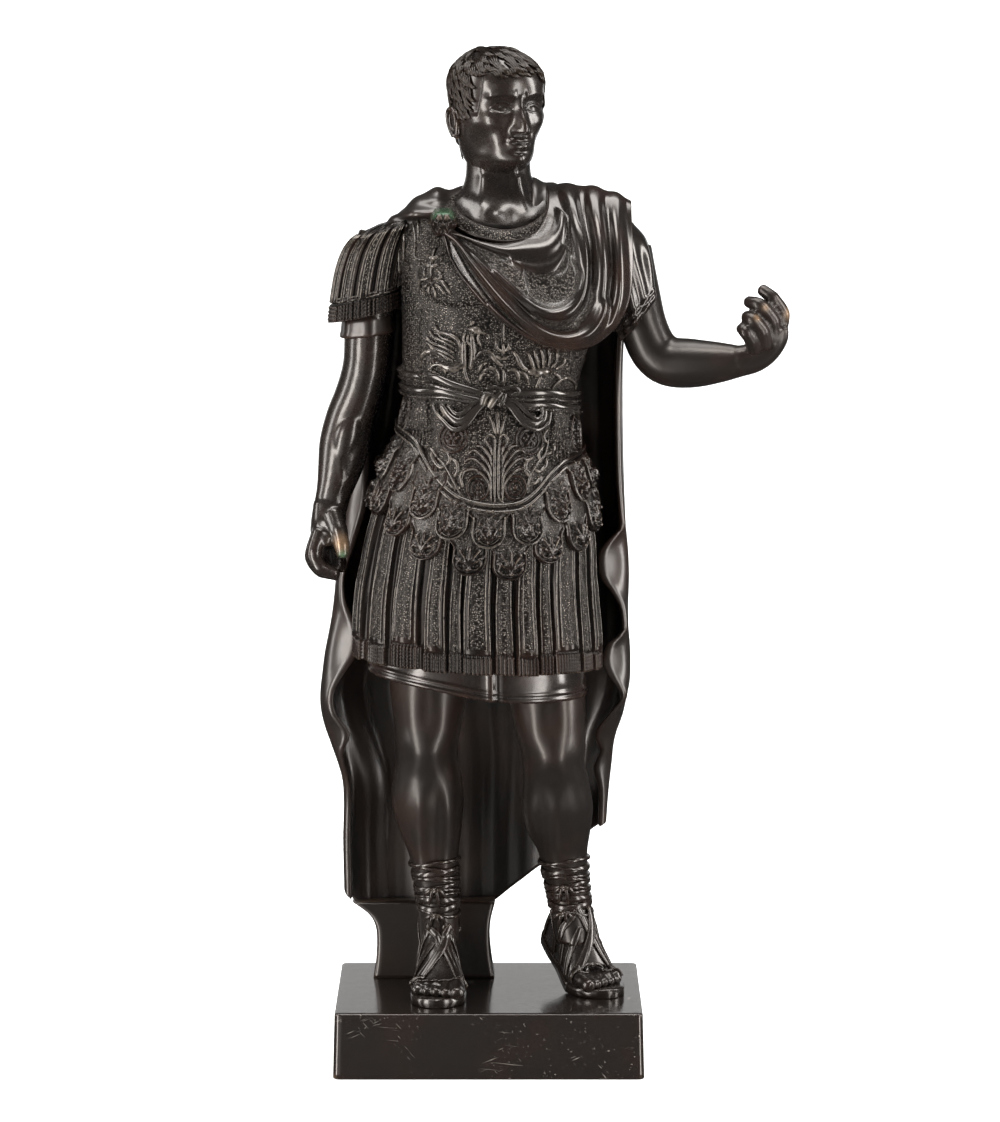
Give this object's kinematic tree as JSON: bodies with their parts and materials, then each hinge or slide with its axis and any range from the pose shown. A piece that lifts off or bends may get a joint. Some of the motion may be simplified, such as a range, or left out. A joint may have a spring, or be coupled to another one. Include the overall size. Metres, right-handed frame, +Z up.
{
  "type": "cuirassed roman statue",
  "caption": "Dark patinated bronze statuette of a standing Roman commander in relief cuirass, strap skirts, long cloak and strapped boots, left hand raised, on its own plain rectangular plinth.",
  "frame": {"origin": "middle of the plinth's flat underside", "axes": "+X towards the figure's left hand, +Y towards its back, +Z up"},
  "size_m": [0.3035, 0.14, 0.6396],
  "materials": {
    "dark_bronze": "dark brown-black patina, waxed and glossy, rubbed to red-brown and gold on the high points",
    "plinth_bronze": "dark brown-black patina, satin, with scratches and small pale chips"
  },
  "bodies": {
    "root": {"figure": "dark_bronze", "plinth": "plinth_bronze"}
  },
  "joints": []
}
